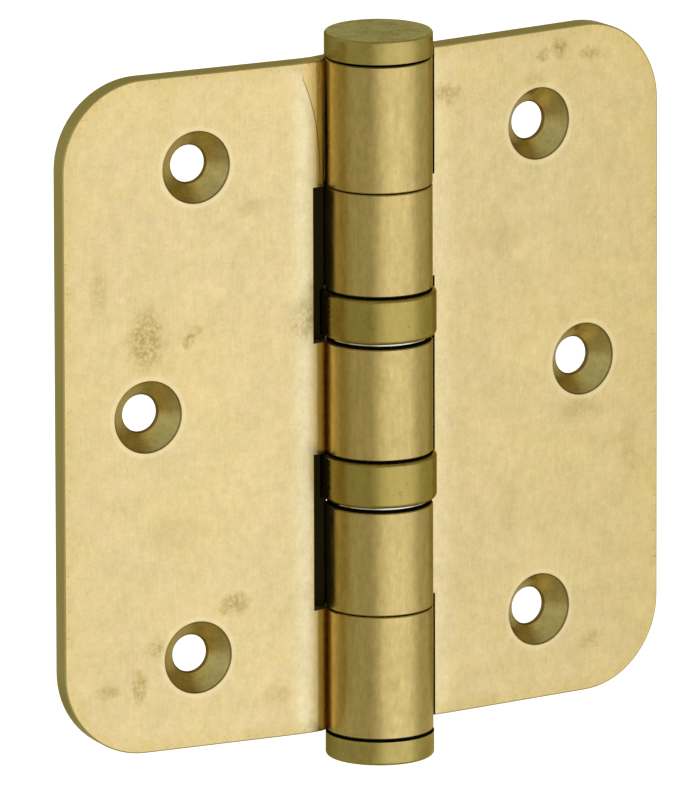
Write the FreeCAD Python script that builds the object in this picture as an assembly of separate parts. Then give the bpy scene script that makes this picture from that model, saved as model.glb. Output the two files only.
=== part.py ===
"""Two-bearing, five-knuckle butt hinge with radius corners, modelled piece by piece.

Millimetres, +Z up along the hinge pin. The origin is on the pin axis at the leaves' mid height.
The left leaf runs towards -X and shows its countersunk face towards -Y. The right leaf runs
towards +X and rests a little past flat. Each piece is written to parts/ under its own name.
"""
import FreeCAD, Part
import math
import os

Vector = FreeCAD.Vector
ORIGIN = Vector(0, 0, 0)
UP = Vector(0, 0, 1)
SIDEWAYS = Vector(1, 0, 0)
BACKWARDS = Vector(0, 1, 0)
TAU_DEG = 360.0

# ---- driving dimensions: leaves ----
leaf_height = 101.6
leaf_width = 50.8              # pin axis to outer edge
leaf_thickness = 3.4
leaf_setback = 0.8             # countersunk face to pin axis, half of the gap when closed
corner_radius = 13.0
edge_break = 0.3
past_flat = 8.8                # right leaf at rest, degrees beyond the flat position

# ---- driving dimensions: barrel, listed from the top down ----
knuckle_radius = 7.94
top_knuckle = 19.0
upper_free_knuckle = 15.6
bearing_height = 7.95
middle_knuckle = 16.8
lower_free_knuckle = 15.75
end_gap = 0.2                  # axial clearance between touching knuckles
knuckle_chamfer = 0.15
pin_radius = 3.95
bore_clearance = 0.05

# ---- driving dimensions: where a leaf meets the barrel ----
bend_start = 14.4              # distance from the axis where the face starts to bend back gently
bend_radius = 40.0
valley_start = 9.6             # and where it drops into the valley beside the barrel
valley_radius = 3.2
valley_end = 7.4
back_fillet = 12.0
fillet_bury = 0.03             # the back fillet dips this far into the knuckle
fillet_overrun_deg = 3.0       # and runs on by this much, so that the two surfaces cross cleanly
left_pocket_edge = 10.2        # front edges of the pockets round the other leaf's knuckles
right_pocket_edge = 10.6
web_thickness = 1.0            # what the pocket leaves at the back of the leaf
web_end = 6.2                  # where the web's thin tip behind the barrel is squared off
knuckle_relief = 8.15
bearing_relief = 8.75
shell_margin = 0.06            # axial room in a leaf above and below a bearing's shell
lip_thickness = 0.9            # lip that carries the pocket's wall on behind the bearing
lip_drop = 0.8                 # the lip reaches this far below the bearing's shell
lip_start_deg = 137.5
lip_sweep_deg = 18.5
seam_width = 0.3
seam_height = 15.2
seam_start_deg = 144.0
seam_sweep_deg = 24.0
seam_bite = 0.05

# ---- driving dimensions: screw holes ----
screw_radius = 2.8
countersink_radius = 5.45
countersink_angle = 82.0
end_hole_x = 29.25
middle_hole_x = 37.2
end_hole_z = 37.0
hole_drop = 0.2                # the end holes sit this much below symmetric places

# ---- driving dimensions: button tips on the pin ----
tip_radius = 8.05
tip_height = 3.6
tip_gap = 0.4
tip_edge = 0.5
stud_radius = 2.0
stud_length = 6.5
stud_pocket = 7.0

# ---- driving dimensions: ball bearing unit, depths measured down from its top ----
shell_radius = 8.5
shell_bore = 7.7
shell_top = 0.4
shell_web = 0.6
shell_bottom = 7.15
shell_top_edge = 0.5
shell_bottom_edge = 0.75
hub_radius = 6.6
hub_clearance = 0.05
race_bore = 4.3
lower_race_radius = 7.4
lower_race_foot = 7.55
race_edge = 0.1
ball_radius = 1.19
ball_count = 12
ball_pitch = 5.9
ball_depth = 4.0
race_stand_off = 0.75          # race face to ball centre
groove_clearance = 0.1
cage_inner = 4.4
cage_outer = 7.3
cage_half_height = 0.4
cage_pocket_clearance = 0.06

# ---- modelling allowances ----
overshoot = 1.0                # how far a cutter runs past the face that it opens
same_place = 0.01              # two positions closer than this are the same

# ---- levels worked out from the dimensions above ----
leaf_top = leaf_height / 2
front_y = leaf_setback
back_y = leaf_setback + leaf_thickness
top_knuckle_low = leaf_top - top_knuckle
upper_bearing_top = top_knuckle_low - upper_free_knuckle
middle_knuckle_top = upper_bearing_top - bearing_height
middle_knuckle_low = middle_knuckle_top - middle_knuckle
lower_bearing_low = middle_knuckle_low - bearing_height
lower_bearing_top = middle_knuckle_low
bottom_knuckle_top = lower_bearing_low - lower_free_knuckle
bearing_tops = [upper_bearing_top, lower_bearing_top]


def cylinder(radius, low, high):
    return Part.makeCylinder(radius, high - low, Vector(0, 0, low))


def through(radius, low, high):
    """Cutter for a hole that opens both faces of whatever lies between two heights."""
    return cylinder(radius, low - overshoot, high + overshoot)


def ring(outer, inner, low, high):
    return cylinder(outer, low, high).cut(through(inner, low, high))


def turned(corners):
    """Solid of revolution about Z from (radius, height) corners."""
    points = [Vector(radius, 0, height) for radius, height in corners]
    profile = Part.makePolygon(points + points[:1])
    return Part.Face(profile).revolve(ORIGIN, UP, TAU_DEG)


def arc(centre, radius, from_deg, to_deg):
    """Circular edge in the XY plane, from one angle to another in either direction."""
    def on_circle(angle):
        turn = math.radians(angle)
        return Vector(centre[0] + radius * math.cos(turn), centre[1] + radius * math.sin(turn), 0)
    middle = (from_deg + to_deg) / 2
    return Part.Arc(on_circle(from_deg), on_circle(middle), on_circle(to_deg)).toShape()


def line(start, end):
    return Part.makeLine(start, end)


def one_solid(shape):
    solids = shape.removeSplitter().Solids
    assert len(solids) == 1, "expected one solid, found %d" % len(solids)
    return solids[0]


# ---- leaves, drawn as the left one ----
def leaf_section():
    """Plan section of the leaf: flat plate, valley in front and fillet behind, without its barrel."""
    bend_turn = math.asin((bend_start - valley_start) / bend_radius)
    bend_centre = (-bend_start, front_y + bend_radius)
    bend = arc(bend_centre, bend_radius, -90, -90 + math.degrees(bend_turn))
    to_valley = bend_radius - valley_radius
    valley_x = bend_centre[0] + to_valley * math.sin(bend_turn)
    valley_y = bend_centre[1] - to_valley * math.cos(bend_turn)
    valley_turn = math.asin((-valley_end - valley_x) / valley_radius)
    valley_from = -90 + math.degrees(bend_turn)
    valley_to = -90 + math.degrees(valley_turn)
    valley = arc((valley_x, valley_y), valley_radius, valley_from, valley_to)
    fillet_y = back_y + back_fillet
    reach = knuckle_radius + back_fillet - fillet_bury
    fillet_x = -math.sqrt(reach ** 2 - fillet_y ** 2)
    aim = math.degrees(math.atan2(-fillet_y, -fillet_x))
    fillet = arc((fillet_x, fillet_y), back_fillet, aim + fillet_overrun_deg, -90)
    outer_front = Vector(-leaf_width, front_y, 0)
    outer_back = Vector(-leaf_width, back_y, 0)
    edges = [
        line(outer_front, bend.firstVertex().Point),
        bend,
        valley,
        line(valley.lastVertex().Point, fillet.firstVertex().Point),
        fillet,
        line(fillet.lastVertex().Point, outer_back),
        line(outer_back, outer_front),
    ]
    return Part.Face(Part.Wire(edges))


def leaf_outline():
    """Prism across the leaf's thickness with its two outer corners rounded."""
    depth = 4 * leaf_thickness + 2 * knuckle_radius
    box = Part.makeBox(leaf_width, depth, leaf_height, Vector(-leaf_width, -knuckle_radius, -leaf_top))
    corners = []
    for edge in box.Edges:
        middle = edge.CenterOfMass
        at_side = abs(middle.x + leaf_width) < same_place
        at_end = abs(abs(middle.z) - leaf_top) < same_place
        if at_side and at_end:
            corners.append(edge)
    return box.makeFillet(corner_radius, corners)


def leaf_blank():
    plate = leaf_section().extrude(UP * leaf_height)
    plate.translate(Vector(0, 0, -leaf_top))
    return plate.common(leaf_outline())


def break_outer_edges(blank):
    """Round over the plate's rim where it stands clear of the barrel."""
    rim = []
    for edge in blank.Edges:
        box = edge.BoundBox
        to_face = min(abs(box.YMin - front_y), abs(box.YMin - back_y))
        on_face = box.YLength < same_place and to_face < same_place
        along_rim = box.XMin < -leaf_width + corner_radius + same_place
        if on_face and along_rim:
            rim.append(edge)
    return blank.makeFillet(edge_break, rim)


def shell_band(bearing_top):
    """Heights between which a leaf makes room for a bearing's shell."""
    return bearing_top - shell_bottom - shell_margin, bearing_top - shell_top + shell_margin


def pocket(low, high, edge, bearing_tops):
    """Cutter that clears the other leaf's knuckle and the bearings beside it."""
    depth = back_y - web_thickness + knuckle_radius
    corner = Vector(-edge, -knuckle_radius, low)
    cutter = Part.makeBox(edge + knuckle_radius, depth, high - low, corner)
    tip_corner = Vector(-web_end, -knuckle_radius, low)
    tip = Part.makeBox(web_end + knuckle_radius, 2 * knuckle_radius, high - low, tip_corner)
    rounds = [cylinder(knuckle_relief, low, high)]
    for top in bearing_tops:
        rounds.append(cylinder(bearing_relief, *shell_band(top)))
    return cutter.fuse([tip] + rounds)


def bearing_lip(shell_low, high):
    """Arc of wall behind the bearing's shell, so that no light shows between it and the leaf."""
    low = shell_low - lip_drop
    base = Vector(0, 0, low)
    sector = Part.makeCylinder(bearing_relief + lip_thickness, high - low, base, UP, lip_sweep_deg)
    lip = sector.cut(through(bearing_relief, low, high))
    lip.rotate(ORIGIN, UP, lip_start_deg)
    return lip


def knuckle(low, high):
    cut = knuckle_chamfer
    return turned([
        (0, low),
        (knuckle_radius - cut, low),
        (knuckle_radius, low + cut),
        (knuckle_radius, high - cut),
        (knuckle_radius - cut, high),
        (0, high),
    ])


def screw_hole(x, z):
    """Through hole with its countersink, opening towards -Y."""
    cone_depth = (countersink_radius - screw_radius) / math.tan(math.radians(countersink_angle / 2))
    outside = Vector(x, front_y - overshoot, z)
    face = Vector(x, front_y, z)
    shank = Part.makeCylinder(screw_radius, leaf_thickness + 2 * overshoot, outside, BACKWARDS)
    mouth = Part.makeCylinder(countersink_radius, overshoot, outside, BACKWARDS)
    cone = Part.makeCone(countersink_radius, screw_radius, cone_depth, face, BACKWARDS)
    return shank.fuse([mouth, cone])


def screw_places():
    return [
        (-end_hole_x, end_hole_z - hole_drop),
        (-middle_hole_x, 0),
        (-end_hole_x, -end_hole_z - hole_drop),
    ]


def build_leaf(pockets, knuckles, bore_radius):
    leaf = break_outer_edges(leaf_blank())
    for cutter in pockets:
        leaf = leaf.cut(cutter)
    additions = [knuckle(low, high) for low, high in knuckles]
    for top in bearing_tops:
        additions.append(bearing_lip(*shell_band(top)))
    leaf = leaf.fuse(additions)
    leaf = leaf.cut(through(bore_radius, -leaf_top, leaf_top))
    for x, z in screw_places():
        leaf = leaf.cut(screw_hole(x, z))
    return leaf


def rolled_seam():
    """Slit left where the top knuckle's rolled end stands off the leaf."""
    base = Vector(0, 0, top_knuckle_low)
    sector = Part.makeCylinder(knuckle_radius + seam_width, seam_height, base, UP, seam_sweep_deg)
    slit = sector.cut(through(knuckle_radius - seam_bite, top_knuckle_low, leaf_top))
    slit.rotate(ORIGIN, UP, seam_start_deg)
    return slit


def build_left_leaf():
    edge = left_pocket_edge
    upper_pocket = pocket(middle_knuckle_top, top_knuckle_low, edge, [upper_bearing_top])
    lower_pocket = pocket(bottom_knuckle_top, middle_knuckle_low, edge, [lower_bearing_top])
    knuckles = [
        (top_knuckle_low, leaf_top),
        (middle_knuckle_low, middle_knuckle_top),
        (-leaf_top, bottom_knuckle_top),
    ]
    leaf = build_leaf([upper_pocket, lower_pocket], knuckles, pin_radius)
    return one_solid(leaf.cut(rolled_seam()))


def build_right_leaf():
    upper_knuckle_top = top_knuckle_low - end_gap
    lower_knuckle_low = bottom_knuckle_top + end_gap
    above = leaf_top + overshoot
    below = -leaf_top - overshoot
    edge = right_pocket_edge
    top_pocket = pocket(upper_knuckle_top, above, edge, [])
    middle_pocket = pocket(lower_bearing_low, upper_bearing_top, edge, bearing_tops)
    bottom_pocket = pocket(below, lower_knuckle_low, edge, [])
    knuckles = [
        (upper_bearing_top, upper_knuckle_top),
        (lower_knuckle_low, lower_bearing_low),
    ]
    pockets = [top_pocket, middle_pocket, bottom_pocket]
    leaf = one_solid(build_leaf(pockets, knuckles, pin_radius + bore_clearance))
    leaf = leaf.mirror(ORIGIN, SIDEWAYS)
    leaf.rotate(ORIGIN, UP, past_flat)
    return leaf


# ---- pin and tips ----
def circle_edges(shape, radius, height):
    """Round edges of one radius at one height."""
    found = []
    for edge in shape.Edges:
        box = edge.BoundBox
        level = box.ZLength < same_place and abs(box.ZMin - height) < same_place
        if level and abs(box.XMax - radius) < same_place:
            found.append(edge)
    return found


def build_pin():
    """Plain rod, flush with the end knuckles and drilled at both ends for the tips' studs."""
    pin = cylinder(pin_radius, -leaf_top, leaf_top)
    pin = pin.cut(cylinder(stud_radius, leaf_top - stud_pocket, leaf_top + overshoot))
    return pin.cut(cylinder(stud_radius, -leaf_top - overshoot, -leaf_top + stud_pocket))


def build_tip(direction):
    """Button tip with its neck and stud; direction is 1 at the top and -1 at the bottom."""
    low = leaf_top + tip_gap
    high = low + tip_height
    button = cylinder(tip_radius, low, high)
    button = button.makeFillet(tip_edge, circle_edges(button, tip_radius, high))
    neck = cylinder(pin_radius, leaf_top, low)
    stud = cylinder(stud_radius, leaf_top - stud_length, leaf_top)
    tip = one_solid(button.fuse([neck, stud]))
    if direction < 0:
        tip = tip.mirror(ORIGIN, UP)
    return tip


# ---- ball bearing units, each drawn below the face that its top race touches ----
def build_shell(top):
    high = top - shell_top
    low = top - shell_bottom
    shell = cylinder(shell_radius, low, high)
    shell = shell.makeFillet(shell_top_edge, circle_edges(shell, shell_radius, high))
    shell = shell.makeFillet(shell_bottom_edge, circle_edges(shell, shell_radius, low))
    shell = shell.cut(cylinder(shell_bore, low - overshoot, high - shell_web))
    return one_solid(shell.cut(through(hub_radius + hub_clearance, low, high)))


def ball_groove(top):
    groove = ball_radius + groove_clearance
    return Part.makeTorus(ball_pitch, groove, Vector(0, 0, top - ball_depth), UP)


def build_top_race(top):
    seat = top - shell_top - shell_web
    face = top - ball_depth + race_stand_off
    race = turned([
        (race_bore, face),
        (shell_bore, face),
        (shell_bore, seat),
        (hub_radius, seat),
        (hub_radius, top),
        (race_bore, top),
    ])
    return one_solid(race.cut(ball_groove(top)))


def build_bottom_race(top):
    low = top - bearing_height
    foot = top - lower_race_foot
    face = top - ball_depth - race_stand_off
    race = turned([
        (race_bore, low),
        (hub_radius, low),
        (hub_radius, foot),
        (lower_race_radius - race_edge, foot),
        (lower_race_radius, foot + race_edge),
        (lower_race_radius, face),
        (race_bore, face),
    ])
    return one_solid(race.cut(ball_groove(top)))


def ball_centres(top):
    centres = []
    for index in range(ball_count):
        turn = math.tau * index / ball_count
        centres.append(Vector(ball_pitch * math.cos(turn), ball_pitch * math.sin(turn), top - ball_depth))
    return centres


def build_balls(top):
    return Part.makeCompound([Part.makeSphere(ball_radius, centre) for centre in ball_centres(top)])


def build_cage(top):
    middle = top - ball_depth
    cage = ring(cage_outer, cage_inner, middle - cage_half_height, middle + cage_half_height)
    for centre in ball_centres(top):
        start = Vector(centre.x, centre.y, middle - overshoot)
        hole = Part.makeCylinder(ball_radius + cage_pocket_clearance, 2 * overshoot, start)
        cage = cage.cut(hole)
    return one_solid(cage)


def build_all():
    pieces = {
        "left_leaf": build_left_leaf(),
        "right_leaf": build_right_leaf(),
        "hinge_pin": build_pin(),
        "top_button_tip": build_tip(1),
        "bottom_button_tip": build_tip(-1),
    }
    for place, top in zip(("upper", "lower"), bearing_tops):
        pieces[place + "_bearing_shell"] = build_shell(top)
        pieces[place + "_bearing_top_race"] = build_top_race(top)
        pieces[place + "_bearing_cage"] = build_cage(top)
        pieces[place + "_bearing_balls"] = build_balls(top)
        pieces[place + "_bearing_bottom_race"] = build_bottom_race(top)
    return pieces


os.makedirs("parts", exist_ok=True)
for name, shape in build_all().items():
    assert shape.isValid(), name
    shape.exportStep("parts/%s.step" % name)
    print("%-28s solids %2d  volume %9.1f mm3" % (name, len(shape.Solids), shape.Volume))
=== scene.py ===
"""Looks of the two-bearing brass butt hinge: materials, light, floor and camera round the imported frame.

Metres, in the frame's own axes: +Z up along the pin, the countersunk faces towards -Y, the fixed
leaf towards -X. Every shape comes from the frame, and this script gives it its surface.
"""
import bpy
import math
from mathutils import Matrix, Vector


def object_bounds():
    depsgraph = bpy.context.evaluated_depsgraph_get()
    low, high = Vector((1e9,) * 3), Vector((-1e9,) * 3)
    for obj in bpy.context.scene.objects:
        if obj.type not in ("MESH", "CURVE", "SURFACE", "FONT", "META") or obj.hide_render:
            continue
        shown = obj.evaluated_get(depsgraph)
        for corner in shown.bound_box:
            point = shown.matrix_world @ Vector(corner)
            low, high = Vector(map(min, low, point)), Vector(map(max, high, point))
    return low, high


MM = 0.001

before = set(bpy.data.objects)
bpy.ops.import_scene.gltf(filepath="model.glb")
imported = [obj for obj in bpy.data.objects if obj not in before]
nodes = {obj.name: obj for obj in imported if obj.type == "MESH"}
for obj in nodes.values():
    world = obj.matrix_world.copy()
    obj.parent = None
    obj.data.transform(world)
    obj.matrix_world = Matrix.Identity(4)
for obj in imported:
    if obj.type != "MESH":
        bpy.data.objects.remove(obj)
cad_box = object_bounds()


# ---- node helpers ----
def put(tree, socket, value):
    """Link a socket to another one, or set its number."""
    if isinstance(value, bpy.types.NodeSocket):
        tree.links.new(value, socket)
    else:
        socket.default_value = value


def add(tree, kind, inputs=None, **settings):
    """New node with its settings, and its inputs by name or index."""
    node = tree.nodes.new(kind)
    for name, value in settings.items():
        setattr(node, name, value)
    for name, value in (inputs or {}).items():
        put(tree, node.inputs[name], value)
    return node


def calc(tree, operation, a, b=0.0, clamp=False):
    node = add(tree, "ShaderNodeMath", {0: a, 1: b}, operation=operation, use_clamp=clamp)
    return node.outputs[0]


def remap(tree, value, low, high, to_low=0.0, to_high=1.0, smooth=True):
    style = "SMOOTHSTEP" if smooth else "LINEAR"
    inputs = {"Value": value, "From Min": low, "From Max": high, "To Min": to_low, "To Max": to_high}
    return add(tree, "ShaderNodeMapRange", inputs, interpolation_type=style).outputs["Result"]


def blend_colour(tree, factor, a, b, mode="MIX"):
    """Colour a where factor is 0 and b, or a mixed with b by mode, where it is 1."""
    node = add(tree, "ShaderNodeMix", data_type="RGBA", blend_type=mode)
    put(tree, node.inputs[0], factor)
    put(tree, node.inputs[6], a)
    put(tree, node.inputs[7], b)
    return node.outputs[2]


def noise(tree, place, scale, detail=3.0, roughness=0.5, distortion=0.0):
    inputs = {"Vector": place, "Scale": scale, "Detail": detail, "Roughness": roughness,
              "Distortion": distortion}
    return add(tree, "ShaderNodeTexNoise", inputs).outputs["Fac"]


def stretched(tree, place, scale):
    return add(tree, "ShaderNodeMapping", {"Vector": place, "Scale": scale}).outputs["Vector"]


def grey(level):
    return (level, level, level, 1.0)


def new_material(name):
    material = bpy.data.materials.new(name)
    material.use_nodes = True
    tree = material.node_tree
    tree.nodes.clear()
    shader = tree.nodes.new("ShaderNodeBsdfPrincipled")
    output = tree.nodes.new("ShaderNodeOutputMaterial")
    tree.links.new(shader.outputs["BSDF"], output.inputs["Surface"])
    return material, tree, shader


# ---- the hinge's own places, in millimetres from the pin axis and the leaves' mid height ----
PAST_FLAT = math.radians(8.8)
LEAF_WIDTH = 50.8
HALF_HEIGHT = 50.8
CORNER = 13.0
BARREL = 7.94
BACK_FACE = 4.2                # depth of the leaf's back, behind the pin axis
LAND_RADIUS = 2.8              # straight part of a screw hole, behind its cone
POCKET_EDGE = {"left": 10.2, "right": 10.6}
SCREWS = ((29.25, 36.8), (37.2, 0.0), (29.25, -37.2))
COUNTERSINK = 5.45
KNUCKLE_ENDS = (50.8, 31.7, 16.2, 8.25, -8.55, -16.5, -32.15, -50.8)
TOP_JOINT, BOTTOM_JOINT = 31.8, -32.25
SEAM_TOP = 47.0
TIP_UNDERSIDE, TIP_END_FACE = 51.2, 54.8
UPPER_BEARING = (8.25, 16.2)
LOWER_BEARING = (-16.5, -8.55)
POCKETS = {
    "left": ((UPPER_BEARING[0], TOP_JOINT), (BOTTOM_JOINT, LOWER_BEARING[1])),
    "right": ((TOP_JOINT, 60.0), (LOWER_BEARING[0], UPPER_BEARING[1]), (-60.0, BOTTOM_JOINT)),
}

# ---- colours ----
PINK_BRASS = (0.86, 0.675, 0.365, 1.0)
GREEN_BRASS = (0.81, 0.672, 0.325, 1.0)
WHITE_BRASS = (1.0, 0.88, 0.55, 1.0)
RICH_BRASS = (0.78, 0.60, 0.25, 1.0)
BARREL_BRASS = (0.70, 0.54, 0.22, 1.0)
COLLAR_BRASS = (0.50, 0.39, 0.115, 1.0)
COLLAR_SPOT = (0.26, 0.19, 0.04, 1.0)
TIP_BRASS = (0.57, 0.455, 0.155, 1.0)
TIP_END = (1.0, 0.93, 0.54, 1.0)
TIP_BLOTCH = (0.66, 0.58, 0.32, 1.0)
CAGE_BRASS = (0.72, 0.56, 0.26, 1.0)
EDGE_BRASS = (0.80, 0.69, 0.34, 1.0)
ROUGH_GOLD = (0.94, 0.75, 0.33, 1.0)
VALLEY_GOLD = (0.88, 0.68, 0.28, 1.0)
CONE_BRASS = (0.60, 0.47, 0.19, 1.0)
# colour of the painted highlight on the countersink cones
CONE_HIGHLIGHT = (1.0, 0.86, 0.46, 1.0)
# brown of the painted shade in the crease by the barrel
VALLEY_SHADE_BROWN = (0.42, 0.26, 0.085, 1.0)
OLIVE = (0.42, 0.33, 0.10, 1.0)
STAIN = (0.46, 0.33, 0.09, 1.0)
BROWN = (0.23, 0.14, 0.045, 1.0)
# matt black of the painted shade in gaps, pockets and slits
SHADE_BLACK = (0.030, 0.024, 0.008, 1.0)
EDGE_TINT = (0.60, 0.55, 0.38, 1.0)
RACE_STEEL = (0.84, 0.80, 0.70, 1.0)
# black of the painted shade on the races' hub, in the gap by the pin
HUB_SHADE_BLACK = (0.06, 0.045, 0.02, 1.0)
BALL_BRIGHT, BALL_DULL = (0.78, 0.78, 0.77, 1.0), (0.60, 0.58, 0.54, 1.0)
PIN_BRIGHT, PIN_DULL = (0.58, 0.57, 0.55, 1.0), (0.40, 0.37, 0.32, 1.0)
DARK_LIGHT = (1.0, 0.97, 0.58, 1.0)
WHITE = (1.0, 1.0, 1.0, 1.0)


# ---- patterns that the materials share ----
def inside(tree, value, low, high, soft=0.05):
    """One where a value lies between two limits, fading over soft on either side of each."""
    rise = remap(tree, value, low - soft, low + soft)
    fall = remap(tree, value, high - soft, high + soft, 1.0, 0.0)
    return calc(tree, "MULTIPLY", rise, fall)


def joined(tree, operation, values):
    result = values[0]
    for value in values[1:]:
        result = calc(tree, operation, result, value)
    return result


def length(tree, vector):
    return add(tree, "ShaderNodeVectorMath", {0: vector}, operation="LENGTH").outputs["Value"]


def from_point(tree, place, x, z, wide=1.0, tall=1.0):
    """Distance across a leaf's face from a point, counted in half widths and half heights."""
    inputs = {"Vector": place, "Location": (-x / wide, 0, -z / tall), "Scale": (1 / wide, 0, 1 / tall)}
    return length(tree, add(tree, "ShaderNodeMapping", inputs).outputs["Vector"])


def from_axis(tree, place):
    """Distance from the pin axis."""
    return length(tree, stretched(tree, place, (1.0, 1.0, 0.0)))


def ragged(tree, place, scale, amount):
    """The same place moved about by noise, so that an outline drawn with it turns uneven."""
    inputs = {"Vector": place, "Scale": scale, "Detail": 3.0, "Roughness": 0.6}
    colour = add(tree, "ShaderNodeTexNoise", inputs).outputs["Color"]
    centred = add(tree, "ShaderNodeVectorMath", {0: colour, 1: (0.5, 0.5, 0.5)}, operation="SUBTRACT")
    shift = add(tree, "ShaderNodeVectorMath", {0: centred.outputs[0], "Scale": amount}, operation="SCALE")
    moved = add(tree, "ShaderNodeVectorMath", {0: place, 1: shift.outputs[0]}, operation="ADD")
    return moved.outputs[0]


def shaded(tree, colour, patterns):
    """Colour made lighter or darker by noise patterns, each given with its half range."""
    level = 1.0
    for pattern, amount in patterns:
        level = calc(tree, "ADD", level, remap(tree, pattern, 0.3, 0.7, -amount, amount, smooth=False))
    return blend_colour(tree, 1.0, colour, level, "MULTIPLY")


def finish_metal(tree, shader, colour, roughness, height, depth_mm, painted_shade=None):
    """Wire a metal's colour, roughness and fine relief to its shader, under any matt black painted shade.
    """
    bump = add(tree, "ShaderNodeBump", {"Height": height})
    bump.inputs["Strength"].default_value = 0.3
    bump.inputs["Distance"].default_value = depth_mm * MM
    put(tree, shader.inputs["Normal"], bump.outputs["Normal"])
    shader.inputs["Specular Tint"].default_value = EDGE_TINT
    shader.inputs["Metallic"].default_value = 1.0
    # painted shade: the masked places turn matt black
    if painted_shade:
        colour = blend_colour(tree, painted_shade, colour, SHADE_BLACK)
        put(tree, shader.inputs["Metallic"], remap(tree, painted_shade, 0.0, 1.0, 1.0, 0.0))
        put(tree, shader.inputs["Specular IOR Level"], remap(tree, painted_shade, 0.0, 1.0, 0.5, 0.0))
        roughness = calc(tree, "MAXIMUM", roughness, calc(tree, "MULTIPLY", painted_shade, 0.9))
    put(tree, shader.inputs["Base Color"], colour)
    put(tree, shader.inputs["Roughness"], roughness)


# ---- leaves ----
def leaf_space(tree, side):
    """Place on a leaf in millimetres: outwards from the pin axis, front to back, and height."""
    coordinates = tree.nodes.new("ShaderNodeTexCoord")
    if side == "left":
        scale, turn = (-1 / MM, 1 / MM, 1 / MM), 0.0
    else:
        scale, turn = (1 / MM, 1 / MM, 1 / MM), -PAST_FLAT
    inputs = {"Vector": coordinates.outputs["Object"], "Rotation": (0, 0, turn), "Scale": scale}
    return add(tree, "ShaderNodeMapping", inputs).outputs["Vector"]


def split(tree, vector):
    return add(tree, "ShaderNodeSeparateXYZ", {0: vector}).outputs


def on_front(tree, place, value):
    """A mask kept to the countersunk face and the valley, clear of the leaf's back."""
    depth = split(tree, place)[1]
    return calc(tree, "MULTIPLY", value, remap(tree, depth, BACK_FACE - 0.2, BACK_FACE - 0.6))


def face_colour(tree, place, side):
    """Ground face: pale satin brass, whiter by the barrel and richer towards the outer edge."""
    out = split(tree, place)[0]
    clouds = noise(tree, place, 0.06, 4.0, 0.6, 0.5)
    mottle = noise(tree, place, 0.8, 5.0, 0.65)
    streaks = noise(tree, stretched(tree, place, (2.4, 1.0, 0.25)), 1.0, 4.0, 0.6)
    richness, whiteness = {"left": (0.15, 0.9), "right": (0.40, 0.25)}[side]
    outward = remap(tree, out, 26.0, LEAF_WIDTH, 0.0, richness)
    rich = calc(tree, "ADD", remap(tree, clouds, 0.4, 0.7, 0.0, 0.35), outward, clamp=True)
    tone = remap(tree, noise(tree, place, 0.45, 5.0, 0.7), 0.35, 0.65)
    colour = blend_colour(tree, tone, PINK_BRASS, GREEN_BRASS)
    colour = blend_colour(tree, rich, colour, RICH_BRASS)
    white = on_front(tree, place, remap(tree, out, 15.0, 11.0, 0.0, whiteness))
    colour = blend_colour(tree, white, colour, WHITE_BRASS)
    fine = noise(tree, place, 2.4, 4.0, 0.7)
    return shaded(tree, colour, ((clouds, 0.045), (mottle, 0.065), (fine, 0.06), (streaks, 0.03)))


LEFT_STAINS = (
    (37.2, 11.7, 3.4, 5.2, 0.42), (30.7, 11.4, 1.2, 1.5, 0.42), (29.0, 12.6, 1.0, 1.0, 0.25),
    (11.6, 12.0, 2.4, 4.0, 0.28), (23.3, -29.6, 2.4, 1.8, 0.40), (38.8, -40.8, 1.4, 3.0, 0.35),
    (35.9, -35.0, 2.0, 1.6, 0.30), (43.6, -41.0, 2.2, 1.2, 0.30), (20.5, 30.0, 3.0, 1.2, 0.18),
    (16.0, -44.0, 3.5, 1.6, 0.20), (45.0, 20.0, 1.6, 5.0, 0.18), (33.0, -18.0, 5.0, 3.0, 0.12),
)
RIGHT_STAINS = (
    (32.9, 47.8, 1.6, 1.5, 0.45), (30.2, 46.8, 1.3, 1.0, 0.40), (38.5, 46.4, 2.0, 1.0, 0.38),
    (13.0, 43.5, 2.6, 1.6, 0.35), (28.5, 43.5, 1.8, 2.0, 0.18), (36.6, -7.8, 4.2, 1.8, 0.22),
    (38.5, -43.0, 2.4, 1.6, 0.25), (22.0, 20.0, 5.0, 2.5, 0.12), (24.0, -22.0, 2.0, 5.0, 0.12),
    (45.5, -15.0, 2.0, 6.0, 0.15),
)


def add_stains(tree, place, colour, stains):
    """Handling smudges, given as outward place, height, half width, half height and strength."""
    uneven = ragged(tree, place, 0.6, 3.5)
    broken = remap(tree, noise(tree, place, 1.6, 4.0, 0.7), 0.30, 0.62)
    masks = []
    for x, z, wide, tall, strength in stains:
        masks.append(remap(tree, from_point(tree, uneven, x, z, wide, tall), 1.3, 0.3, 0.0, 2.0 * strength))
    mask = calc(tree, "MULTIPLY", joined(tree, "ADD", masks), broken, clamp=True)
    return blend_colour(tree, on_front(tree, place, mask), colour, STAIN)


def add_specks(tree, place, colour, strength):
    """Small dark pits scattered over a surface."""
    specks = remap(tree, noise(tree, place, 2.6, 2.0, 0.6), 0.67, 0.74, 0.0, strength)
    return blend_colour(tree, specks, colour, OLIVE)


def rim_distance(tree, place):
    """Distance in from a leaf's outline, with its two round corners, up to the corner radius."""
    inputs = {0: place}
    size = add(tree, "ShaderNodeVectorMath", inputs, operation="ABSOLUTE").outputs[0]
    inner = (LEAF_WIDTH - CORNER, 0.0, HALF_HEIGHT - CORNER)
    beyond = add(tree, "ShaderNodeVectorMath", {0: size, 1: inner}, operation="SUBTRACT").outputs[0]
    beyond = add(tree, "ShaderNodeVectorMath", {0: beyond, 1: (0, 0, 0)}, operation="MAXIMUM").outputs[0]
    flat = stretched(tree, beyond, (1.0, 0.0, 1.0))
    return calc(tree, "SUBTRACT", CORNER, length(tree, flat))


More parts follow.
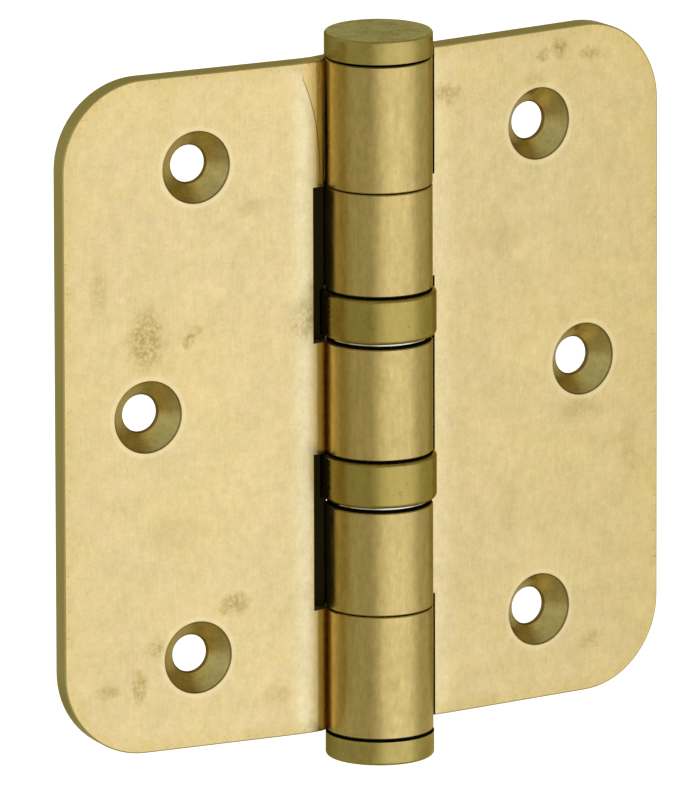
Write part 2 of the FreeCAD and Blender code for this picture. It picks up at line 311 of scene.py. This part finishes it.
def add_rim(tree, place, colour):
    """Richer worn band round the outline, pits in it, and the darker sawn edge."""
    distance = rim_distance(tree, place)
    worn = remap(tree, noise(tree, place, 0.5, 4.0, 0.65), 0.35, 0.65, 0.25, 0.75)
    band = calc(tree, "MULTIPLY", remap(tree, distance, 2.6, 0.4), worn)
    colour = blend_colour(tree, band, colour, RICH_BRASS)
    pits = remap(tree, noise(tree, place, 2.2, 3.0, 0.7), 0.60, 0.68, 0.0, 0.7)
    pits = calc(tree, "MULTIPLY", pits, inside(tree, distance, 0.2, 1.2, 0.3))
    colour = blend_colour(tree, pits, colour, OLIVE)
    return blend_colour(tree, remap(tree, distance, 0.22, 0.08), colour, EDGE_BRASS)


def cone_highlight(tree, place, x, z, side):
    """One on a cone's painted highlight, a brighter sector below and to one side of its hole."""
    away = -0.72 if side == "left" else 0.72
    offset = add(tree, "ShaderNodeMapping", {"Vector": place, "Location": (-x, 0, -z), "Scale": (1, 0, 1)})
    ray = add(tree, "ShaderNodeVectorMath", {0: offset.outputs[0]}, operation="NORMALIZE").outputs[0]
    aligned = add(tree, "ShaderNodeVectorMath", {0: ray, 1: (away, 0.0, -0.69)}, operation="DOT_PRODUCT")
    near = remap(tree, from_point(tree, place, x, z), COUNTERSINK + 0.3, COUNTERSINK + 0.2)
    return calc(tree, "MULTIPLY", remap(tree, aligned.outputs["Value"], 0.55, 1.0), near)


def add_countersinks(tree, place, colour, side):
    """Cones with turned rings and a painted highlight on one side, a dark outline, painted shade on the
    land, and a halo on the face.
    """
    depth = split(tree, place)[1]
    distances = [from_point(tree, place, x, z) for x, z in SCREWS]
    distance = joined(tree, "MINIMUM", distances)
    rings = noise(tree, add(tree, "ShaderNodeCombineXYZ", {0: distance}).outputs[0], 5.0, 3.0, 0.6)
    marks = noise(tree, place, 1.1, 4.0, 0.65)
    # painted highlight: the brighter sector of each cone
    painted_highlight = joined(tree, "MAXIMUM", [cone_highlight(tree, place, x, z, side) for x, z in SCREWS])
    cone = blend_colour(tree, painted_highlight, CONE_BRASS, CONE_HIGHLIGHT)
    cone = shaded(tree, cone, ((rings, 0.12), (marks, 0.14)))
    halo = calc(tree, "MULTIPLY", inside(tree, distance, COUNTERSINK, COUNTERSINK + 0.7, 0.25), 0.35)
    colour = blend_colour(tree, on_front(tree, place, halo), colour, WHITE_BRASS)
    sunk = calc(tree, "MULTIPLY", remap(tree, distance, COUNTERSINK + 0.05, COUNTERSINK - 0.05),
                remap(tree, depth, BACK_FACE - 0.02, BACK_FACE - 0.12))
    colour = blend_colour(tree, sunk, colour, cone)
    # painted shade: the straight wall of each hole darkened brown
    by_hole = remap(tree, distance, LAND_RADIUS + 0.30, LAND_RADIUS + 0.12, 0.0, 0.85)
    land = calc(tree, "MULTIPLY", sunk, by_hole)
    colour = blend_colour(tree, land, colour, BROWN)
    outline = inside(tree, distance, COUNTERSINK - 0.18, COUNTERSINK + 0.02, 0.08)
    outline = on_front(tree, place, calc(tree, "MULTIPLY", outline, 0.75))
    return blend_colour(tree, outline, colour, BROWN)


def add_rough_patch(tree, place, colour):
    """Unground golden patch by the top knuckle, inside a curved line where the grinding stopped."""
    out, _, height = split(tree, place)
    rise = remap(tree, height, 32.0, 48.3, smooth=False)
    curve = calc(tree, "MULTIPLY_ADD", calc(tree, "POWER", rise, 2.5), 2.87)
    curve.node.inputs[2].default_value = 9.0
    beyond = calc(tree, "SUBTRACT", out, curve)
    grain = noise(tree, stretched(tree, place, (1.6, 1.0, 0.7)), 1.3, 5.0, 0.7)
    blotched = remap(tree, grain, 0.52, 0.74, 0.0, 0.5)
    # painted shade: browner in the crease next to the barrel, added to the real blotches
    patch_crease_shade = remap(tree, out, 8.9, 8.3, 0.0, 0.45)
    blotches_and_shade = calc(tree, "ADD", blotched, patch_crease_shade)
    gold = blend_colour(tree, blotches_and_shade, ROUGH_GOLD, BROWN)
    here = on_front(tree, place, remap(tree, height, TOP_JOINT - 0.1, TOP_JOINT))
    patch = calc(tree, "MULTIPLY", remap(tree, beyond, 0.10, -0.10), here)
    colour = blend_colour(tree, patch, colour, gold)
    fade = remap(tree, height, 49.6, 47.5, 0.0, 0.85)
    score = joined(tree, "MULTIPLY", [inside(tree, beyond, -0.10, 0.05, 0.06), here, fade])
    return blend_colour(tree, score, colour, BROWN)


def add_valley(tree, place, colour):
    """Golden band towards the barrel, and a brown line of painted shade in the crease where the leaf meets
    the barrel.
    """
    out = split(tree, place)[0]
    golden = on_front(tree, place, remap(tree, out, 10.0, 9.0, 0.0, 0.85))
    colour = blend_colour(tree, golden, colour, VALLEY_GOLD)
    wear = remap(tree, noise(tree, place, 1.2, 4.0, 0.7), 0.3, 0.7, 0.6, 1.0)
    # painted shade: brown line in the crease next to the barrel
    valley_crease_shade = on_front(tree, place, calc(tree, "MULTIPLY", remap(tree, out, 8.9, 8.2), wear))
    return blend_colour(tree, valley_crease_shade, colour, VALLEY_SHADE_BROWN)


def barrel_colour(tree, place):
    """Knuckles: deeper brass with fine upright streaks and scattered dull patches."""
    streaks = noise(tree, stretched(tree, place, (1.0, 1.0, 0.14)), 1.2, 5.0, 0.7)
    mottle = noise(tree, stretched(tree, place, (1.0, 1.0, 0.6)), 1.2, 5.0, 0.7)
    clouds = noise(tree, place, 0.22, 4.0, 0.6, 0.5)
    colour = blend_colour(tree, remap(tree, clouds, 0.40, 0.70, 0.0, 0.16), BARREL_BRASS, OLIVE)
    colour = add_specks(tree, place, colour, 0.45)
    return shaded(tree, colour, ((streaks, 0.10), (mottle, 0.12), (clouds, 0.03)))


def seam_mask(tree, place, radius):
    """One in the slit beside the top knuckle's rolled end, which widens downwards; the slit gets black
    painted shade.
    """
    height = split(tree, place)[2]
    width = remap(tree, height, SEAM_TOP, TOP_JOINT, 8.15, 8.45, smooth=False)
    near = remap(tree, calc(tree, "SUBTRACT", radius, width), 0.1, 0.0)
    along = inside(tree, height, TOP_JOINT, SEAM_TOP)
    return on_front(tree, place, calc(tree, "MULTIPLY", near, along))


def gap_shade_mask(tree, place, radius, side):
    """Painted shade: one in the pockets round the other leaf's knuckles and on the knuckles' ends, where
    the gaps are in shadow.
    """
    out, depth, height = split(tree, place)
    bands = [inside(tree, height, low, high, 0.06) for low, high in POCKETS[side]]
    edge = POCKET_EDGE[side]
    before_web = calc(tree, "MULTIPLY", remap(tree, out, edge + 0.06, edge + 0.01),
                      remap(tree, depth, 3.6, 3.4))
    walls = calc(tree, "MAXIMUM", before_web, remap(tree, radius, 8.9, 8.8))
    pockets = calc(tree, "MULTIPLY", joined(tree, "MAXIMUM", bands), walls)
    if side == "left":
        pockets = calc(tree, "MAXIMUM", pockets, seam_mask(tree, place, radius))
    off_barrel = remap(tree, radius, BARREL + 0.05, BARREL + 0.10)
    gaps = calc(tree, "MULTIPLY", pockets, off_barrel)
    ends = joined(tree, "MAXIMUM", [inside(tree, height, end - 0.15, end + 0.15) for end in KNUCKLE_ENDS])
    return calc(tree, "MAXIMUM", gaps, calc(tree, "MULTIPLY", ends, remap(tree, radius, 7.85, 7.75)))


def leaf_material(side):
    """Leaf and its knuckles: ground faces, sawn edges, countersinks, barrel and dark pockets."""
    material, tree, shader = new_material(side + "_leaf_brass")
    place = leaf_space(tree, side)
    radius = from_axis(tree, place)
    colour = face_colour(tree, place, side)
    colour = add_stains(tree, place, colour, LEFT_STAINS if side == "left" else RIGHT_STAINS)
    colour = add_specks(tree, place, colour, 0.35)
    colour = add_rim(tree, place, colour)
    colour = add_valley(tree, place, colour)
    if side == "left":
        colour = add_rough_patch(tree, place, colour)
    colour = add_countersinks(tree, place, colour, side)
    barrel = remap(tree, radius, BARREL + 0.10, BARREL + 0.05)
    colour = blend_colour(tree, barrel, colour, barrel_colour(tree, place))
    clouds = noise(tree, place, 0.25, 4.0, 0.6)
    grain = noise(tree, stretched(tree, place, (3.0, 3.0, 0.4)), 1.2, 4.0, 0.65)
    roughness = remap(tree, clouds, 0.3, 0.7, 0.29, 0.37)
    roughness = calc(tree, "ADD", roughness, remap(tree, grain, 0.3, 0.7, -0.03, 0.03))
    # painted shade: black in the pockets, the slit and the gaps at the knuckles' ends
    painted_shade = gap_shade_mask(tree, place, radius, side)
    finish_metal(tree, shader, colour, roughness, grain, 0.012, painted_shade)
    return material


# ---- round pieces ----
def round_space(tree):
    """Place on a round piece in millimetres."""
    coordinates = tree.nodes.new("ShaderNodeTexCoord")
    return stretched(tree, coordinates.outputs["Object"], (1 / MM, 1 / MM, 1 / MM))


def collar_material():
    """Bearing shell: darker, slightly green brass, turned, with dull spots and black painted shade towards
    the pin.
    """
    material, tree, shader = new_material("shell_brass")
    place = round_space(tree)
    mottle = noise(tree, place, 0.9, 5.0, 0.7)
    streaks = noise(tree, stretched(tree, place, (1.0, 1.0, 0.3)), 1.2, 4.0, 0.65)
    turning = noise(tree, stretched(tree, place, (0.1, 0.1, 6.0)), 1.0, 3.0, 0.6)
    spots = remap(tree, noise(tree, place, 0.9, 3.0, 0.6), 0.62, 0.72, 0.0, 0.45)
    colour = blend_colour(tree, spots, COLLAR_BRASS, COLLAR_SPOT)
    colour = shaded(tree, colour, ((mottle, 0.10), (streaks, 0.06), (turning, 0.03)))
    roughness = remap(tree, mottle, 0.3, 0.7, 0.24, 0.36)
    # painted shade: black on the shell inside 7.85 mm from the axis, where it faces the gaps
    painted_shade = remap(tree, from_axis(tree, place), 8.0, 7.85)
    finish_metal(tree, shader, colour, roughness, turning, 0.01, painted_shade)
    return material


def tip_material():
    """Button tips: dull brass, blotched on the flat end, black painted shade in the gap under the button.
    """
    material, tree, shader = new_material("tip_brass")
    place = round_space(tree)
    size = calc(tree, "ABSOLUTE", split(tree, place)[2])
    clouds = noise(tree, place, 0.35, 5.0, 0.65, 0.6)
    mottle = noise(tree, place, 1.4, 5.0, 0.7)
    streaks = noise(tree, stretched(tree, place, (1.0, 1.0, 0.25)), 1.4, 4.0, 0.65)
    colour = blend_colour(tree, remap(tree, clouds, 0.42, 0.66, 0.0, 0.45), TIP_BRASS, OLIVE)
    blotches = remap(tree, noise(tree, place, 0.28, 5.0, 0.65, 0.8), 0.46, 0.60, 0.0, 0.55)
    end = blend_colour(tree, blotches, TIP_END, TIP_BLOTCH)
    end = shaded(tree, end, ((clouds, 0.10), (mottle, 0.12)))
    colour = blend_colour(tree, remap(tree, size, TIP_END_FACE - 0.2, TIP_END_FACE - 0.02), colour, end)
    colour = shaded(tree, colour, ((streaks, 0.06), (mottle, 0.08)))
    roughness = remap(tree, mottle, 0.3, 0.7, 0.26, 0.40)
    # painted shade: black in the gap under the button
    painted_shade = remap(tree, size, TIP_UNDERSIDE + 0.04, TIP_UNDERSIDE + 0.01)
    finish_metal(tree, shader, colour, roughness, mottle, 0.02, painted_shade)
    return material


def race_material():
    """Bearing races: hard polished steel where it shows, black painted shade on the hub towards the pin."""
    material, tree, shader = new_material("race_steel")
    place = round_space(tree)
    marks = noise(tree, stretched(tree, place, (0.4, 0.4, 9.0)), 1.0, 4.0, 0.6)
    clouds = noise(tree, place, 0.8, 4.0, 0.6)
    colour = shaded(tree, RACE_STEEL, ((clouds, 0.10), (marks, 0.04)))
    # painted shade: black on the hub in the gap by the pin
    hub_shade = remap(tree, from_axis(tree, place), 7.1, 6.7)
    colour = blend_colour(tree, hub_shade, colour, HUB_SHADE_BLACK)
    roughness = remap(tree, clouds, 0.3, 0.7, 0.12, 0.24)
    finish_metal(tree, shader, colour, roughness, marks, 0.006)
    return material


def plain_metal(name, bright, dull, low_roughness, high_roughness):
    """Metal of the pieces inside: faint turning marks and cloudy oil film."""
    material, tree, shader = new_material(name)
    place = round_space(tree)
    clouds = noise(tree, place, 0.7, 4.0, 0.6)
    marks = noise(tree, stretched(tree, place, (0.5, 0.5, 8.0)), 1.0, 4.0, 0.6)
    colour = blend_colour(tree, remap(tree, clouds, 0.4, 0.7, 0.0, 0.6), bright, dull)
    colour = shaded(tree, colour, ((marks, 0.05), (clouds, 0.04)))
    roughness = remap(tree, clouds, 0.3, 0.7, low_roughness, high_roughness)
    finish_metal(tree, shader, colour, roughness, marks, 0.008)
    return material


def paint(node_name, material):
    mesh = nodes[node_name].data
    mesh.materials.clear()
    mesh.materials.append(material)


def paint_everything():
    tip, collar, race = tip_material(), collar_material(), race_material()
    cage = plain_metal("cage_brass", CAGE_BRASS, OLIVE, 0.25, 0.40)
    balls = plain_metal("ball_steel", BALL_BRIGHT, BALL_DULL, 0.08, 0.16)
    pin = plain_metal("pin_steel", PIN_BRIGHT, PIN_DULL, 0.24, 0.38)
    paint("left_leaf", leaf_material("left"))
    paint("right_leaf", leaf_material("right"))
    paint("hinge_pin", pin)
    paint("top_button_tip", tip)
    paint("bottom_button_tip", tip)
    for bearing in ("upper_bearing_", "lower_bearing_"):
        paint(bearing + "shell", collar)
        paint(bearing + "top_race", race)
        paint(bearing + "bottom_race", race)
        paint(bearing + "cage", cage)
        paint(bearing + "balls", balls)


paint_everything()


# ---- light ----
AMBIENT = 0.30


def direction(azimuth, elevation):
    """Unit vector from the object; azimuth 0 is the side that the screws go in from, 90 the right."""
    turn, rise = math.radians(azimuth), math.radians(elevation)
    return (math.sin(turn) * math.cos(rise), -math.cos(turn) * math.cos(rise), math.sin(rise))


def softbox(tree, look, azimuth, elevation, full_deg, none_deg, level):
    """Light level over a round patch of the surroundings that fades from full_deg to none_deg."""
    toward = add(tree, "ShaderNodeVectorMath", {0: look, 1: direction(azimuth, elevation)},
                 operation="DOT_PRODUCT")
    outer, inner = math.cos(math.radians(none_deg)), math.cos(math.radians(full_deg))
    return remap(tree, toward.outputs["Value"], outer, inner, 0.0, level)


def build_world():
    """Even room with a broad soft light in front, a fill at the left and a lamp for the back."""
    world = bpy.data.worlds.new("studio")
    world.use_nodes = True
    tree = world.node_tree
    tree.nodes.clear()
    look = tree.nodes.new("ShaderNodeTexCoord").outputs["Generated"]
    lights = [
        softbox(tree, look, 13, -12, 12, 56, 0.745),
        softbox(tree, look, 78, -12, 10, 46, 0.18),
        softbox(tree, look, -95, -12, 35, 65, 0.11),
        softbox(tree, look, 140, -22, 15, 42, 0.50),
    ]
    level = joined(tree, "ADD", [AMBIENT] + lights)
    bright = remap(tree, level, 0.25, 1.0, 0.0, 1.0, smooth=False)
    tint = blend_colour(tree, bright, DARK_LIGHT, WHITE)
    colour = blend_colour(tree, 1.0, tint, level, "MULTIPLY")
    room = add(tree, "ShaderNodeBackground", {"Color": colour})
    backdrop = add(tree, "ShaderNodeBackground")
    backdrop.inputs["Color"].default_value = WHITE
    rays = tree.nodes.new("ShaderNodeLightPath")
    seen = add(tree, "ShaderNodeMixShader", {0: rays.outputs["Is Camera Ray"], 1: room.outputs[0],
                                             2: backdrop.outputs[0]})
    output = tree.nodes.new("ShaderNodeOutputWorld")
    tree.links.new(seen.outputs[0], output.inputs["Surface"])
    bpy.context.scene.world = world


def build_floor():
    """Plain pale sheet under the hinge, kept out of the metal's reflections."""
    half = 3.0
    mesh = bpy.data.meshes.new("floor")
    corners = [(-half, -half, 0), (half, -half, 0), (half, half, 0), (-half, half, 0)]
    mesh.from_pydata(corners, [], [(0, 1, 2, 3)])
    floor = bpy.data.objects.new("floor", mesh)
    floor.location.z = cad_box[0].z
    bpy.context.scene.collection.objects.link(floor)
    material, _, shader = new_material("floor_paper")
    shader.inputs["Base Color"].default_value = grey(0.85)
    shader.inputs["Roughness"].default_value = 0.9
    shader.inputs["Emission Color"].default_value = WHITE
    shader.inputs["Emission Strength"].default_value = 0.95
    mesh.materials.append(material)
    floor.visible_glossy = False
    return floor


build_world()
build_floor()


# ---- camera ----
CAMERA_AZIMUTH = -25.493
CAMERA_ELEVATION = 13.385
CAMERA_ROLL = -0.146
CAMERA_DISTANCE = 2.957792
TARGET_RIGHT = -4.893 * MM
TARGET_UP = -1.083 * MM
SENSOR = 36.0
PICTURE_HEIGHT = 800
PIXELS_PER_MM = 6.781          # at the target


def build_camera():
    data = bpy.data.cameras.new("camera")
    camera = bpy.data.objects.new("camera", data)
    bpy.context.scene.collection.objects.link(camera)
    data.sensor_width = SENSOR
    focal_pixels = PIXELS_PER_MM * CAMERA_DISTANCE / MM
    data.lens = focal_pixels * SENSOR / PICTURE_HEIGHT
    data.clip_start = 0.1
    data.clip_end = 20.0
    back = Vector(direction(CAMERA_AZIMUTH, CAMERA_ELEVATION))
    right = (-back).cross(Vector((0, 0, 1))).normalized()
    up = right.cross(-back)
    roll = math.radians(CAMERA_ROLL)
    rolled_right = math.cos(roll) * right + math.sin(roll) * up
    rolled_up = -math.sin(roll) * right + math.cos(roll) * up
    target = right * TARGET_RIGHT + Vector((0, 0, TARGET_UP))
    place = target + back * CAMERA_DISTANCE
    axes = Matrix((rolled_right, rolled_up, back)).transposed()
    camera.matrix_world = Matrix.Translation(place) @ axes.to_4x4()
    bpy.context.scene.camera = camera


build_camera()
bpy.context.scene.view_settings.view_transform = "Standard"
